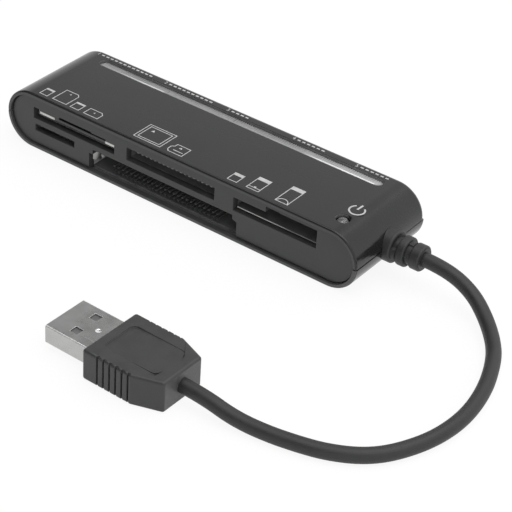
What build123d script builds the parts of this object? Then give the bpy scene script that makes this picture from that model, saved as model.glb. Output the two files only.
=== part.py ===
from build123d import *
import os
from math import atan2, cos, degrees, radians, sin, tan

# A card reader with a captive cable, in millimetres. X runs along the body with the cable
# at +X, the card slots face -Y and +Z is up. The origin is on the table, under the middle
# of the body. The slots set the body's length, and what is stacked inside sets its height.

# Upper row of slots, from the left end of the body to the right end
left_margin = 7.8
standard_slot_width = 24.9
standard_thin_web = 3.7
thin_slot_width = 25.6
thin_stick_web = 5.35
stick_slot_width = 22.75
right_margin = 11.3

# Lower row of slots
micro_slot_inset = 0.5
micro_slot_width = 12.2
micro_slot_height = 1.7
micro_wide_web = 4.6
wide_slot_width = 43.45
wide_slot_height = 5.5
wide_left_shoulder = 1.25
wide_right_shoulder = 1.02
wide_right_slope = 0.58
wide_left_narrowing = 1.1
wide_right_narrowing = 1.25

# Heights of the upper slots above their floors
standard_channel = 2.15
standard_slot_gap = 0.1
standard_slot_step = 0.4
standard_slot_rise = 0.65
thin_slot_height = 3.3
stick_low_height = 3.4
stick_high_height = 4.65
stick_notch_height = 4.8

# Where the roofs of the upper slots step, from each slot's left side
standard_step_places = (1.8, 7.9, 17.8, 22.2)
stick_step_places = (8.9, 12.6)

# Casing
wall = 1.0
back_wall = 1.2
body_depth = 27.3
upper_room = 6.1
top_back_radius = 1.4
bottom_back_radius = 0.6
front_radius = 0.5
panel_recess = 0.7
shadow_gap = 0.15
shadow_gap_depth = 0.3
joint_tongue = 0.45
joint_tongue_height = 0.8
joint_gap = 0.05

# Front panel, with a flange that sits in a groove of the casing
panel_face = 0.85
panel_flange = 1.0
panel_gap = 0.12
panel_radius = 0.2
groove_depth = 0.45
groove_gap = 0.05

# Light bar and indicator lamp in the top cover
bar_end_margin = 9.35
bar_shift = 0.2
bar_width = 3.1
bar_from_back = 4.45
bar_gap = 0.05
bar_rise = 0.15
bar_flange = 0.7
bar_flange_thickness = 0.9
led_from_end = 8.06
led_from_front = 5.6
led_diameter = 3.0
led_hole_gap = 0.25
led_below_surface = 0.15
led_stand = 0.9
led_lead_pitch = 2.54
led_lead_size = 0.5
led_lead_tail = 0.9
led_lead_hole = 0.9

# Circuit board on posts of the bottom cover
board_thickness = 1.0
board_clearance = 0.2
board_end_margin = 4.7
board_front_gap = 0.35
board_back_gap = 0.4
post_radius = 1.4
rest_radius = 0.9
post_root = 0.5
pin_radius = 0.6
pin_gap = 0.1
post_from_end = 12.7
post_from_back = 1.85
rest_from_front = 5.0
rest_from_stick_side = 1.4

# Sockets
rail = 0.7
steel = 0.25
socket_front_gap = 0.1
socket_bar_gap = 0.45
standard_floor = 0.25
tongue_setback = 0.1
tongue_side_gap = 0.1
tongue_left = 4.6
tongue_right = 2.7
tongue_middle_setback = 1.6
tongue_fold = 0.35
nose_setback = 0.15
nose_drop = 0.4
nose_rise = 0.05
nose_side_gap = 0.05
micro_floor = 0.3
micro_depth = 15.0
thin_floor = 0.4
thin_roof = 0.6
stick_floor = 0.7
stick_slot_floor = 0.15
stick_plate_setback = 0.95
stick_plate_side_gap = 0.55
stick_roof_height = 4.4
stick_roof = 0.6
stick_roof_depth = 6.0

# Spring contacts
leaf_thickness = 0.2
leaf_hook = 1.0
leaf_slope = 1.6
leaf_drop = 0.4
leaf_width = 0.6
leaf_lift = 0.9
leaf_reach = 5.6
standard_contact_count = 9
standard_contact_pitch = 2.5
micro_contact_count = 8
micro_contact_pitch = 1.1
micro_leaf_lift = 0.6
stick_contact_count = 10
stick_contact_pitch = 1.8
thin_contact_count = 18
thin_contact_pitch = 1.25
thin_leaf_lift = 1.9
thin_leaf_reach = 8.3
thin_leaf_tip = 1.65

# Pin header of the wide slot
header_arm = 1.0
header_floor_gap = 0.2
header_front = 7.95
header_depth = 4.0
header_pin = 0.45
header_pin_gap = 0.02
header_pin_pitch = 1.27
header_pins_in_row = 25
header_lower_row = 1.3
header_upper_row = 2.6
header_pin_setback = 1.5
header_upper_tail = 0.5
header_lower_tail = 1.7
spring_setback = 1.4
spring_length = 4.4
spring_height = 2.3
spring_gap = 0.05
spring_bow = 1.5
spring_slit = 0.3
spring_slit_before_crest = 0.75
spring_bridge = 0.5

# Parts soldered to the board
chip_length = 10.2
chip_width = 5.3
chip_height = 1.5
chip_standoff = 0.1
chip_from_header = 4.0
chip_back = 0.6
chip_lead_count = 14
chip_lead_pitch = 0.65
chip_lead_width = 0.3
chip_lead_thickness = 0.15
chip_lead_shoulder = 0.5
chip_lead_reach = 1.1
crystal_length = 10.2
crystal_width = 3.8
crystal_height = 3.4
crystal_from_back = 4.2
crystal_edge_radius = 0.5
chip_part_length = 1.6
chip_part_width = 0.8
capacitor_height = 0.8
resistor_height = 0.45
chip_part_pitch = 3.0
capacitor_count = 5
resistor_count = 4
chip_part_gap = 2.2
bar_led_height = 0.7
bar_led_count = 4

# Strain relief at the right end
boot_gap = 0.05
boot_neck = 5.2
boot_inner_flange = 7.0
boot_inner_room = 2.3
collar_diameter = 7.8
collar_reach = 1.75
collar_radius = 0.5
ring_widths = (2.0, 2.5)
ring_gap = 1.2
ring_diameters = (7.0, 6.1)
ring_radius = 0.4
web_widths = (2.7, 1.8)
web_inset = 0.1
boot_tail = 0.15

# Cable and the wires inside it
cable_diameter = 3.4
cable_lead_out = 5.85
cable_lead_in = 5.5
cable_lift = 0.02
bend_share = 0.45
wire_diameter = 0.8
wire_pitch = 0.95
wire_count = 4
wire_on_board = 3.2

# Plug on the table in front of the body
plug_tip_x = 12.2
plug_tip_y = -64.3
plug_turn = -1.0
plug_width = 12.0
plug_height = 4.5
plug_steel = 0.3
plug_corner = 0.45
plug_exposed = 12.2
plug_hold = 5.0
plug_fit = 0.02
window_size = 2.0
window_from_tip = 5.95
window_spread = 5.94
dimple_diameter = 1.5
dimple_depth = 0.15
dimple_from_tip = 9.3
insert_gap = 0.05
insert_setback = 0.4
insert_thickness = 1.85
insert_block = 9.6
insert_corner = 0.3
plug_contact_width = 1.0
plug_contact_thickness = 0.15
plug_contact_setback = 1.2
plug_contact_places = (-3.5, -1.0, 1.0, 3.5)

# Moulded grip of the plug
grip_length = 19.6
grip_width = 16.7
grip_height = 7.6
grip_rear_width = 11.8
grip_taper = 6.8
grip_radius = 0.7
groove_count = 6
groove_pitch = 1.62
groove_first = 4.05
groove_width = 0.45
groove_cut = 0.55
recess_length = 14.3
recess_width = 9.7
recess_radius = 1.5
recess_depth = 0.3
recess_from_front = 2.4

# Places along the length
body_length = (
    left_margin + standard_slot_width + standard_thin_web + thin_slot_width
    + thin_stick_web + stick_slot_width + right_margin
)
body_right = body_length / 2
body_left = -body_right
standard_left = body_left + left_margin
standard_right = standard_left + standard_slot_width
thin_left = standard_right + standard_thin_web
thin_right = thin_left + thin_slot_width
stick_left = thin_right + thin_stick_web
stick_right = stick_left + stick_slot_width
micro_left = standard_left + micro_slot_inset
micro_right = micro_left + micro_slot_width
wide_left = micro_right + micro_wide_web
wide_right = wide_left + wide_slot_width

# Places up the height
board_under_z = wall + wide_slot_height + board_clearance
board_top_z = board_under_z + board_thickness
roof_z = board_top_z + upper_room
body_height = roof_z + wall
middle_z = body_height / 2
standard_floor_z = board_top_z + standard_floor
standard_plate_z = standard_floor_z + standard_channel
standard_low_z = standard_plate_z + steel + standard_slot_gap
standard_step_z = standard_low_z + standard_slot_step
standard_high_z = standard_low_z + standard_slot_rise
micro_top_z = board_under_z - micro_floor
micro_bottom_z = micro_top_z - micro_slot_height
thin_floor_z = board_top_z + thin_floor
thin_top_z = thin_floor_z + thin_slot_height
stick_floor_z = board_top_z + stick_slot_floor
stick_plate_z = board_top_z + stick_floor
stick_roof_z = board_top_z + stick_roof_height
wide_top_z = wall + wide_slot_height
wide_left_z = wide_top_z - wide_left_shoulder
wide_right_z = wide_top_z - wide_right_shoulder

# Places from front to back
front_y = -body_depth / 2
back_y = body_depth / 2
inner_back_y = back_y - back_wall
panel_front_y = front_y + panel_recess
flange_front_y = panel_front_y + panel_face
panel_back_y = flange_front_y + panel_flange
groove_back_y = panel_back_y + groove_gap
bar_y = back_y - bar_from_back
socket_front_y = panel_back_y + socket_front_gap
socket_back_y = bar_y - bar_width / 2 - bar_flange - socket_bar_gap
board_front_y = panel_back_y + board_front_gap
board_back_y = inner_back_y - board_back_gap
bar_length = body_length - 2 * bar_end_margin
led_x = body_right - led_from_end
led_y = front_y + led_from_front


def upright(y):
    """A plane facing the front at depth y, with sketch coordinates (x, z)."""
    return Plane(origin=(0, y, 0), x_dir=(1, 0, 0), z_dir=(0, -1, 0))


def stadium(inset):
    """The round-ended section of the body, drawn smaller by an inset all round."""
    with Locations((0, middle_z)):
        SlotOverall(body_length - 2 * inset, body_height - 2 * inset)


def block(left, right, front, back, bottom, top):
    """A rectangular block between six faces, added to the part being built."""
    with Locations(((left + right) / 2, (front + back) / 2, (bottom + top) / 2)):
        Box(right - left, back - front, top - bottom)


def spread(middle, pitch, count):
    """Evenly spaced places about a middle."""
    return [middle + (i - (count - 1) / 2) * pitch for i in range(count)]


def half_shell(half, back_radius):
    """One moulded half of the casing, open at the front, with its panel groove."""
    with BuildPart() as shell:
        with BuildSketch(upright(back_y)):
            stadium(0)
            with Locations((0, middle_z)):
                Rectangle(body_length, body_height, align=(Align.CENTER, half), mode=Mode.INTERSECT)
        extrude(amount=body_depth)
        ends = shell.faces().filter_by(Axis.Y).sort_by(Axis.Y)
        back_rim = ends[-1].edges().filter_by(lambda edge: abs(edge.center().Z - middle_z) > wall)
        front_rim = ends[0].edges().filter_by(lambda edge: abs(edge.center().Z - middle_z) > wall)
        fillet(back_rim, back_radius)
        fillet(front_rim, front_radius)
        # Hollow inside
        with BuildSketch(upright(inner_back_y)):
            stadium(wall)
        extrude(amount=body_depth, mode=Mode.SUBTRACT)
        # Groove that traps the flange of the front panel
        with BuildSketch(upright(groove_back_y)):
            stadium(wall - groove_depth)
        extrude(amount=panel_flange + 2 * groove_gap, mode=Mode.SUBTRACT)
        # Shadow gap along the joint of the two halves
        with BuildSketch(Plane.XY.offset(middle_z)):
            Rectangle(body_length, body_depth)
            Rectangle(
                body_length - 2 * shadow_gap_depth, body_depth - 2 * shadow_gap_depth, mode=Mode.SUBTRACT
            )
        extrude(amount=shadow_gap, both=True, mode=Mode.SUBTRACT)
        # Hole for the neck of the strain relief
        with BuildSketch(Plane.YZ.offset(body_right - 2 * wall)):
            with Locations((0, middle_z)):
                Circle(boot_neck / 2 + boot_gap)
        extrude(amount=2 * wall, mode=Mode.SUBTRACT)
    return shell.part


def leaf_outline(rear, seat, lift, reach):
    """Side outline of a spring contact that lies on a seat and bends away from it."""
    side = 1 if lift > 0 else -1
    sheet = side * leaf_thickness
    tip = rear - reach
    crest = tip + leaf_hook
    bend = crest + leaf_slope
    return [
        (rear, seat),
        (rear, seat + sheet),
        (bend, seat + sheet),
        (crest, seat + lift),
        (tip, seat + lift - side * leaf_drop),
        (tip, seat + lift - side * leaf_drop - sheet),
        (crest, seat + lift - sheet),
        (bend, seat),
    ]


def strips(places, width, outline):
    """A row of like strips: one side outline, repeated at places along X."""
    with BuildPart() as row:
        with BuildSketch(*[Plane.YZ.offset(place - width / 2) for place in places]):
            with BuildLine():
                Polyline(*outline, close=True)
            make_face()
        extrude(amount=width)
    return row.part


# Joint tongue: a strip inside the ends and the back of the casing, open at the front
tongue_front_y = groove_back_y + wall
tongue_half_length = body_right - wall + joint_tongue
tongue_back_y = inner_back_y + joint_tongue

# Top cover
with BuildPart() as top_cover:
    add(half_shell(Align.MIN, top_back_radius))
    # Rebate over the joint tongue
    with BuildSketch(Plane.XY.offset(middle_z)):
        with Locations((0, tongue_back_y + joint_gap)):
            Rectangle(
                2 * (tongue_half_length + joint_gap),
                tongue_back_y - tongue_front_y + 2 * joint_gap,
                align=(Align.CENTER, Align.MAX),
            )
    extrude(amount=joint_tongue_height + joint_gap, mode=Mode.SUBTRACT)
    # Slot of the light bar and hole of the indicator
    with BuildSketch(Plane.XY.offset(body_height)):
        with Locations((bar_shift, bar_y)):
            SlotOverall(bar_length, bar_width)
        with Locations((led_x, led_y)):
            Circle(led_diameter / 2 + led_hole_gap)
    extrude(amount=-upper_room, mode=Mode.SUBTRACT)

# Bottom cover, with posts and rests for the board
back_posts = [
    (x, inner_back_y - post_from_back) for x in (body_left + post_from_end, 0, body_right - post_from_end)
]
micro_side_x = micro_right + rail + steel
header_side_x = wide_left - header_arm
rest_y = panel_back_y + rest_from_front
board_rests = [((micro_side_x + header_side_x) / 2, rest_y), (stick_right - rest_from_stick_side, rest_y)]
with BuildPart() as bottom_cover:
    add(half_shell(Align.MAX, bottom_back_radius))
    # Tongue of the joint
    with BuildSketch(Plane.XY.offset(middle_z)):
        with Locations((0, tongue_back_y)):
            Rectangle(
                2 * tongue_half_length,
                tongue_back_y - tongue_front_y,
                align=(Align.CENTER, Align.MAX),
            )
        with Locations((0, inner_back_y)):
            Rectangle(
                2 * (tongue_half_length - joint_tongue),
                body_depth,
                align=(Align.CENTER, Align.MAX),
                mode=Mode.SUBTRACT,
            )
    extrude(amount=joint_tongue_height)
    with BuildSketch(Plane.YZ.offset(body_right - 2 * wall)):
        with Locations((0, middle_z)):
            Circle(boot_neck / 2 + boot_gap)
    extrude(amount=2 * wall, mode=Mode.SUBTRACT)
    # Posts with locating pins at the back, plain rests at the front
    with BuildSketch(Plane.XY.offset(wall - post_root)):
        with Locations(*back_posts):
            Circle(post_radius)
        with Locations(*board_rests):
            Circle(rest_radius)
    extrude(amount=board_under_z - wall + post_root)
    with BuildSketch(Plane.XY.offset(board_under_z)):
        with Locations(*back_posts):
            Circle(pin_radius)
    extrude(amount=board_thickness)

# Front panel with its five slots
standard_steps = [standard_left + place for place in standard_step_places]
stick_steps = [stick_left + place for place in stick_step_places]
standard_outline = [
    (standard_left, standard_floor_z),
    (standard_right, standard_floor_z),
    (standard_right, standard_low_z),
    (standard_steps[3], standard_low_z),
    (standard_steps[3], standard_step_z),
    (standard_steps[2], standard_step_z),
    (standard_steps[2], standard_high_z),
    (standard_steps[1], standard_high_z),
    (standard_steps[1], standard_low_z),
    (standard_steps[0], standard_low_z),
    (standard_steps[0], standard_step_z),
    (standard_left, standard_step_z),
]
stick_outline = [
    (stick_left, stick_floor_z),
    (stick_right, stick_floor_z),
    (stick_right, stick_floor_z + stick_high_height),
    (stick_steps[1], stick_floor_z + stick_high_height),
    (stick_steps[1], stick_floor_z + stick_notch_height),
    (stick_steps[0], stick_floor_z + stick_notch_height),
    (stick_steps[0], stick_floor_z + stick_low_height),
    (stick_left, stick_floor_z + stick_low_height),
]
wide_outline = [
    (wide_left, 0),
    (wide_right, 0),
    (wide_right, wide_right_z - wide_right_slope),
    (wide_right - wide_right_narrowing, wide_right_z),
    (wide_right - wide_right_narrowing, wide_top_z),
    (wide_left + wide_left_narrowing, wide_top_z),
    (wide_left + wide_left_narrowing, wide_left_z),
    (wide_left, wide_left_z),
]
micro_outline = [
    (micro_left, micro_bottom_z),
    (micro_right, micro_bottom_z),
    (micro_right, micro_top_z),
    (micro_left, micro_top_z),
]
thin_outline = [
    (thin_left, thin_floor_z),
    (thin_right, thin_floor_z),
    (thin_right, thin_top_z),
    (thin_left, thin_top_z),
]
with BuildPart() as front_panel:
    with BuildSketch(upright(flange_front_y)):
        stadium(wall + panel_gap)
    extrude(amount=panel_face)
    with BuildSketch(upright(panel_back_y)):
        stadium(wall - groove_depth + panel_gap)
    extrude(amount=panel_flange)
    face_rim = front_panel.faces().filter_by(Axis.Y).sort_by(Axis.Y)[0].edges()
    fillet(face_rim, panel_radius)
    for outline in (standard_outline, micro_outline, thin_outline, wide_outline, stick_outline):
        with BuildSketch(upright(panel_back_y)):
            with BuildLine():
                Polyline(*outline, close=True)
            make_face()
        extrude(amount=panel_face + panel_flange, mode=Mode.SUBTRACT)

# Light bar: a flange under the roof and a low crown that stands in the slot
with BuildPart() as light_bar:
    with BuildSketch(Plane.XY.offset(roof_z)):
        with Locations((bar_shift, bar_y)):
            SlotOverall(bar_length + 2 * bar_flange, bar_width + 2 * bar_flange)
    extrude(amount=-bar_flange_thickness)
    with BuildSketch(Plane.XY.offset(roof_z)):
        with Locations((bar_shift, bar_y)):
            SlotOverall(bar_length - 2 * bar_gap, bar_width - 2 * bar_gap)
    extrude(amount=bar_rise)

# Indicator: a domed lamp on two leads that go through the board
led_base_z = board_top_z + led_stand
led_top_z = body_height - led_below_surface
led_lead_places = [(led_x, y) for y in spread(led_y, led_lead_pitch, 2)]
with BuildPart() as power_led:
    with BuildSketch(Plane.XY.offset(led_base_z)):
        with Locations((led_x, led_y)):
            Circle(led_diameter / 2)
    extrude(amount=led_top_z - led_base_z)
    dome_edge = power_led.edges().group_by(Axis.Z)[-1]
    fillet(dome_edge, led_diameter / 2 - led_hole_gap)

lead_inset = (led_lead_pitch + led_lead_size - led_diameter) / 2
with BuildPart() as led_leads:
    with BuildSketch(Plane.XY.offset(led_base_z)):
        with Locations(*[(led_x, y) for y in spread(led_y, led_lead_pitch - 2 * lead_inset, 2)]):
            Rectangle(led_lead_size, led_lead_size)
    extrude(amount=-(led_stand + board_thickness + led_lead_tail))

# Circuit board
board_left = body_left + board_end_margin
board_right = body_right - board_end_margin
with BuildPart() as circuit_board:
    block(board_left, board_right, board_front_y, board_back_y, board_under_z, board_top_z)
    with Locations(*[(x, y, board_top_z) for x, y in back_posts]):
        Hole(pin_radius + pin_gap)
    with Locations(*[(x, y, board_top_z) for x, y in led_lead_places]):
        Hole(led_lead_hole / 2)

# Socket of the standard slot: moulded tray, spring contacts, folded steel shell
standard_contact_places = spread(
    (standard_left + standard_right) / 2, standard_contact_pitch, standard_contact_count
)
with BuildPart() as standard_socket_base:
    block(
        standard_left - rail, standard_right + rail,
        socket_front_y, socket_back_y, board_top_z, standard_floor_z,
    )
    block(
        standard_left - rail, standard_left,
        socket_front_y, socket_back_y, board_top_z, standard_plate_z,
    )
    block(
        standard_right, standard_right + rail,
        socket_front_y, socket_back_y, board_top_z, standard_plate_z,
    )
    block(
        standard_left - rail, standard_right + rail,
        socket_back_y - rail, socket_back_y, board_top_z, standard_plate_z,
    )
with BuildPart() as standard_socket_contacts:
    add(strips(
        standard_contact_places, leaf_width,
        leaf_outline(socket_back_y - rail, standard_floor_z, leaf_lift, leaf_reach),
    ))
shell_left = standard_left - rail - steel
shell_right = standard_right + rail + steel
with BuildPart() as standard_socket_shell:
    block(
        shell_left, shell_right,
        socket_front_y, socket_back_y, standard_plate_z, standard_plate_z + steel,
    )
    for side_left in (shell_left, shell_right - steel):
        block(
            side_left, side_left + steel,
            socket_front_y, socket_back_y, board_top_z, standard_plate_z + steel,
        )
    # Front edge of the shell, which shows in the slot: its ends reach further out and are folded down
    edge_left = standard_steps[0] + tongue_side_gap
    edge_right = standard_right - tongue_side_gap
    for edge_start, edge_end, setback, fold in (
        (edge_left, edge_left + tongue_left, tongue_setback, tongue_fold),
        (edge_left, edge_right, tongue_middle_setback, 0),
        (edge_right - tongue_right, edge_right, tongue_setback, tongue_fold),
    ):
        edge_y = panel_front_y + setback
        block(edge_start, edge_end, edge_y, socket_front_y, standard_plate_z, standard_plate_z + steel)
        if fold:
            block(edge_start, edge_end, edge_y, edge_y + steel, standard_plate_z - fold, standard_plate_z)

# Nose of the standard socket: a moulding on the front edge of the shell, between its two ends
with BuildPart() as standard_socket_nose:
    block(
        edge_left + tongue_left + nose_side_gap, edge_right - tongue_right - nose_side_gap,
        panel_front_y + nose_setback, panel_front_y + tongue_middle_setback,
        standard_plate_z - nose_drop, standard_plate_z + steel + nose_rise,
    )

# Socket of the micro slot, under the board
micro_back_y = socket_front_y + micro_depth
micro_contact_places = spread((micro_left + micro_right) / 2, micro_contact_pitch, micro_contact_count)
with BuildPart() as micro_socket_base:
    block(
        micro_left - rail, micro_right + rail,
        socket_front_y, micro_back_y, micro_top_z, board_under_z,
    )
    for rail_left in (micro_left - rail, micro_right):
        block(
            rail_left, rail_left + rail,
            socket_front_y, micro_back_y, micro_bottom_z, board_under_z,
        )
    block(
        micro_left - rail, micro_right + rail,
        micro_back_y - rail, micro_back_y, micro_bottom_z, board_under_z,
    )
with BuildPart() as micro_socket_contacts:
    add(strips(
        micro_contact_places, leaf_width,
        leaf_outline(micro_back_y - rail, micro_top_z, -micro_leaf_lift, leaf_reach),
    ))
with BuildPart() as micro_socket_shell:
    block(
        micro_left - rail - steel, micro_right + rail + steel,
        socket_front_y, micro_back_y, micro_bottom_z - steel, micro_bottom_z,
    )
    for side_left in (micro_left - rail - steel, micro_right + rail):
        block(
            side_left, side_left + steel,
            socket_front_y, micro_back_y, micro_bottom_z - steel, board_under_z,
        )

# Socket of the thin slot: a flat moulded tube with a row of contacts under its roof
thin_contact_places = spread((thin_left + thin_right) / 2, thin_contact_pitch, thin_contact_count)
thin_tip_y = panel_front_y + thin_leaf_tip
with BuildPart() as thin_socket_body:
    block(
        thin_left - rail, thin_right + rail,
        socket_front_y, socket_back_y, board_top_z, thin_floor_z,
    )
    block(
        thin_left - rail, thin_right + rail,
        socket_front_y, socket_back_y, thin_top_z, thin_top_z + thin_roof,
    )
    for rail_left in (thin_left - rail, thin_right):
        block(
            rail_left, rail_left + rail,
            socket_front_y, socket_back_y, board_top_z, thin_top_z,
        )
    block(
        thin_left - rail, thin_right + rail,
        socket_back_y - rail, socket_back_y, board_top_z, thin_top_z,
    )
with BuildPart() as thin_socket_contacts:
    add(strips(
        thin_contact_places, leaf_width,
        leaf_outline(thin_tip_y + thin_leaf_reach, thin_top_z, -thin_leaf_lift, thin_leaf_reach),
    ))

# Socket of the stick slot: moulded body, steel floor plate, contacts under its roof
stick_contact_places = spread((stick_left + stick_right) / 2, stick_contact_pitch, stick_contact_count)
with BuildPart() as stick_socket_body:
    block(
        stick_left - rail, stick_right + rail,
        socket_front_y, socket_back_y, board_top_z, stick_plate_z,
    )
    for rail_left in (stick_left - rail, stick_right):
        block(
            rail_left, rail_left + rail,
            socket_front_y, socket_back_y, board_top_z, stick_roof_z,
        )
    block(
        stick_left - rail, stick_right + rail,
        socket_back_y - rail, socket_back_y, board_top_z, stick_roof_z,
    )
    block(
        stick_left - rail, stick_right + rail,
        socket_back_y - stick_roof_depth, socket_back_y, stick_roof_z, stick_roof_z + stick_roof,
    )
with BuildPart() as stick_socket_plate:
    block(
        stick_left + stick_plate_side_gap, stick_right - stick_plate_side_gap,
        panel_front_y + stick_plate_setback, socket_back_y - rail, stick_plate_z, stick_plate_z + steel,
    )
with BuildPart() as stick_socket_contacts:
    add(strips(
        stick_contact_places, leaf_width,
        leaf_outline(socket_back_y - rail, stick_roof_z, -leaf_lift, leaf_reach),
    ))

# Pin header of the wide slot: a moulded bar with two guide arms, hung under the board
header_front_y = panel_front_y + header_front
header_back_y = header_front_y + header_depth
header_bottom_z = wall + header_floor_gap
pin_places = spread((wide_left + wide_right) / 2, header_pin_pitch, header_pins_in_row)
pin_rows = (
    (wall + header_lower_row, header_back_y + header_lower_tail),
    (wall + header_upper_row, header_back_y + header_upper_tail),
)
left_arm = [
    (wide_left - header_arm, header_bottom_z),
    (wide_left, header_bottom_z),
    (wide_left, wide_left_z),
    (wide_left + wide_left_narrowing, wide_left_z),
    (wide_left + wide_left_narrowing, board_under_z),
    (wide_left - header_arm, board_under_z),
]
right_arm = [
    (wide_right + header_arm, header_bottom_z),
    (wide_right, header_bottom_z),
    (wide_right, wide_right_z - wide_right_slope),
    (wide_right - wide_right_narrowing, wide_right_z),
    (wide_right - wide_right_narrowing, board_under_z),
    (wide_right + header_arm, board_under_z),
]
with BuildPart() as wide_header:
    block(
        wide_left - header_arm, wide_right + header_arm,
        header_front_y, header_back_y, header_bottom_z, board_under_z,
    )
    for outline in (left_arm, right_arm):
        with BuildSketch(upright(header_back_y)):
            with BuildLine():
                Polyline(*outline, close=True)
            make_face()
        extrude(amount=header_back_y - socket_front_y)
    with BuildSketch(upright(header_back_y)):
        with Locations(*[(x, row_z) for x in pin_places for row_z, tail_y in pin_rows]):
            Rectangle(header_pin + 2 * header_pin_gap, header_pin + 2 * header_pin_gap)
    extrude(amount=header_depth, mode=Mode.SUBTRACT)


def pin_outline(row_z, tail_y):
    """Side outline of one header pin, with its tail bent up to the board."""
    half = header_pin / 2
    tip_y = panel_front_y + header_pin_setback
    return [
        (tip_y, row_z - half),
        (tail_y + half, row_z - half),
        (tail_y + half, board_under_z),
        (tail_y - half, board_under_z),
        (tail_y - half, row_z + half),
        (tip_y, row_z + half),
    ]


with BuildPart() as wide_header_pins:
    for row_z, tail_y in pin_rows:
        add(strips(pin_places, header_pin, pin_outline(row_z, tail_y)))

# Steel spring on the left wall of the wide slot: an upright leaf, bowed into the slot and slit from above
spring_left = wide_left + spring_gap
spring_front_y = panel_front_y + spring_setback
spring_back_y = spring_front_y + spring_length
spring_middle_y = (spring_front_y + spring_back_y) / 2
spring_bottom_z = wide_left_z - spring_gap - spring_height
slit_y = spring_middle_y - spring_slit_before_crest
with BuildPart() as guide_spring:
    with BuildSketch(Plane.XY.offset(spring_bottom_z)):
        with BuildLine():
            outer_bow = ThreePointArc(
                (spring_left, spring_front_y),
                (spring_left + spring_bow, spring_middle_y),
                (spring_left, spring_back_y),
            )
            inner_bow = ThreePointArc(
                (spring_left, spring_front_y + steel),
                (spring_left + spring_bow - steel, spring_middle_y),
                (spring_left, spring_back_y - steel),
            )
            Line(outer_bow @ 0, inner_bow @ 0)
            Line(outer_bow @ 1, inner_bow @ 1)
        make_face()
    extrude(amount=spring_height)
    with BuildSketch(Plane.XY.offset(spring_bottom_z + spring_bridge)):
        with Locations((spring_left, slit_y)):
            Rectangle(spring_bow, spring_slit, align=(Align.MIN, Align.CENTER))
    extrude(amount=spring_height, mode=Mode.SUBTRACT)

# Controller chip with two rows of leads, under the board
chip_left = wide_right + header_arm + chip_from_header
chip_x = chip_left + chip_length / 2
chip_under_z = board_under_z - chip_standoff
chip_middle_z = chip_under_z - chip_height / 2
with BuildPart() as controller_chip:
    block(
        chip_left, chip_left + chip_length,
        chip_back - chip_width / 2, chip_back + chip_width / 2, chip_under_z - chip_height, chip_under_z,
    )


def lead_outline(edge, side):
    """Side outline of one chip lead, from the body's side up to the board."""
    shoulder = edge + side * chip_lead_shoulder
    toe = edge + side * chip_lead_reach
    inner = shoulder - side * chip_lead_thickness
    return [
        (edge, chip_middle_z),
        (shoulder, chip_middle_z),
        (shoulder, board_under_z - chip_lead_thickness),
        (toe, board_under_z - chip_lead_thickness),
        (toe, board_under_z),
        (inner, board_under_z),
        (inner, chip_middle_z + chip_lead_thickness),
        (edge, chip_middle_z + chip_lead_thickness),
    ]


with BuildPart() as controller_leads:
    for side in (-1, 1):
        add(strips(
            spread(chip_x, chip_lead_pitch, chip_lead_count), chip_lead_width,
            lead_outline(chip_back + side * chip_width / 2, side),
        ))

# Crystal can under the board
with BuildPart() as crystal:
    with BuildSketch(Plane.XY.offset(board_under_z)):
        with Locations((chip_x, inner_back_y - crystal_from_back)):
            SlotOverall(crystal_length, crystal_width)
    extrude(amount=-crystal_height)
    can_rim = crystal.edges().group_by(Axis.Z)[0]
    fillet(can_rim, crystal_edge_radius)


def chip_parts(x, count, height):
    """A row of small soldered parts under the board, on one line from front to back."""
    with BuildPart() as row:
        with BuildSketch(Plane.XY.offset(board_under_z)):
            with Locations(*[(x, y) for y in spread(chip_back, chip_part_pitch, count)]):
                Rectangle(chip_part_length, chip_part_width)
        extrude(amount=-height)
    return row.part


with BuildPart() as capacitors:
    add(chip_parts(chip_left - chip_part_gap, capacitor_count, capacitor_height))
with BuildPart() as resistors:
    add(chip_parts(chip_left + chip_length + chip_part_gap, resistor_count, resistor_height))

# Lamps on the board under the light bar, one for each quarter of it
with BuildPart() as bar_leds:
    with BuildSketch(Plane.XY.offset(board_top_z)):
        with Locations(*[(x, bar_y) for x in spread(bar_shift, bar_length / bar_led_count, bar_led_count)]):
            Rectangle(chip_part_length, chip_part_width)
    extrude(amount=bar_led_height)

# Strain relief: a flange inside the end wall, a collar seated on the round end, two rings
with BuildPart() as boot_flange:
    with BuildSketch(Plane.YZ.offset(body_right - wall - boot_inner_room)):
        with Locations((0, middle_z)):
            Circle(boot_inner_flange / 2)
    extrude(amount=boot_inner_room)
    with BuildSketch(upright(back_y)):
        stadium(wall + boot_gap)
    extrude(amount=body_depth, mode=Mode.INTERSECT)
with BuildPart() as boot_collar:
    with BuildSketch(Plane.YZ.offset(body_right - collar_reach)):
        with Locations((0, middle_z)):
            Circle(collar_diameter / 2)
    extrude(amount=2 * collar_reach)
    fillet(boot_collar.edges().group_by(Axis.X)[-1], collar_radius)
    with BuildSketch(upright(back_y)):
        stadium(-boot_gap)
    extrude(amount=body_depth, mode=Mode.SUBTRACT)
first_ring_x = body_right + collar_reach + ring_gap
second_ring_x = first_ring_x + ring_widths[0] + ring_gap
ring_starts = (first_ring_x, second_ring_x)
boot_end_x = second_ring_x + ring_widths[1] + boot_tail
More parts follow.
